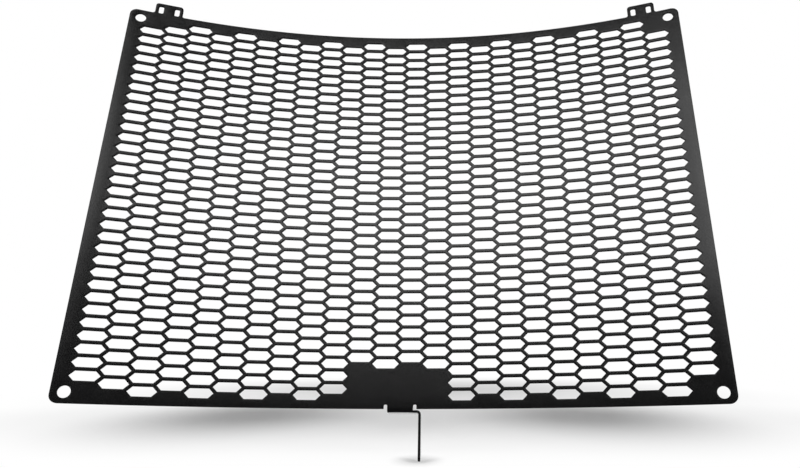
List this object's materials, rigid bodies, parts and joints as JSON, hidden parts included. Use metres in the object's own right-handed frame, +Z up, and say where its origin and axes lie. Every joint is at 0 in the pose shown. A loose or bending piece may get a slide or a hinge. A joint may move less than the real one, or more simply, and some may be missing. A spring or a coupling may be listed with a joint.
{
  "type": "motorcycle radiator guard",
  "caption": "Curved, perforated sheet-metal guard that screws over a motorcycle radiator, with cable-tie tabs on its top edge and a folded locating hook below.",
  "frame": {"origin": "bottom centre of the guard's own box, level with the foot of its hook", "axes": "+X to the right across the guard, +Y through it from the hollow front face to the back, +Z up; the guard leans back 10 degrees about X, top towards +Y"},
  "size_m": [0.3684, 0.078, 0.2975],
  "materials": {
    "powder_coat": "satin black powder coat"
  },
  "bodies": {
    "root": {"radiator_guard": "powder_coat"}
  },
  "joints": []
}
